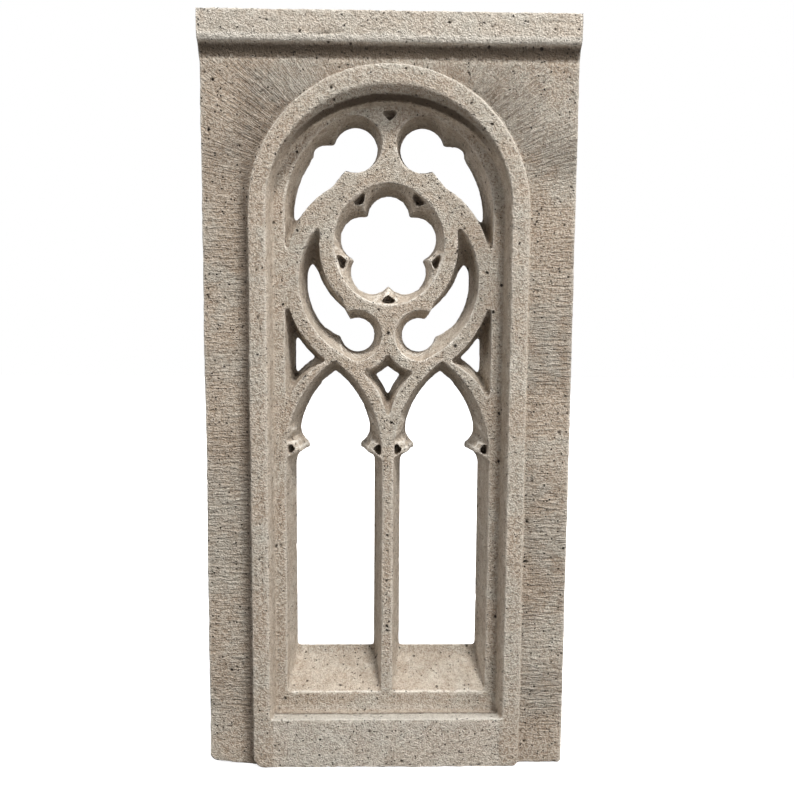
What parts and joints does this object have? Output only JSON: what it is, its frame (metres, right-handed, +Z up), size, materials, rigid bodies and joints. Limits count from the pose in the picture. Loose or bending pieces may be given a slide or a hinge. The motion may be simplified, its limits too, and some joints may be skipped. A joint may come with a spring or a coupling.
{
  "type": "stone gothic window",
  "caption": "Free-standing cast-stone gothic window panel: round-headed raised band and cap round pierced tracery with a five-lobed rose over paired lancet lights.",
  "frame": {"origin": "middle of the underside of the bounding box, on the surface that the window stands on", "axes": "+Z up, front face toward -Y, +X to the viewer's right as seen from the front"},
  "size_m": [0.4, 0.084, 0.822],
  "materials": {
    "stone": "matt pale grey-buff cast limestone, open-pored, comb-chiselled on the flat surround"
  },
  "bodies": {
    "root": {"gothic_window": "stone"}
  },
  "joints": []
}
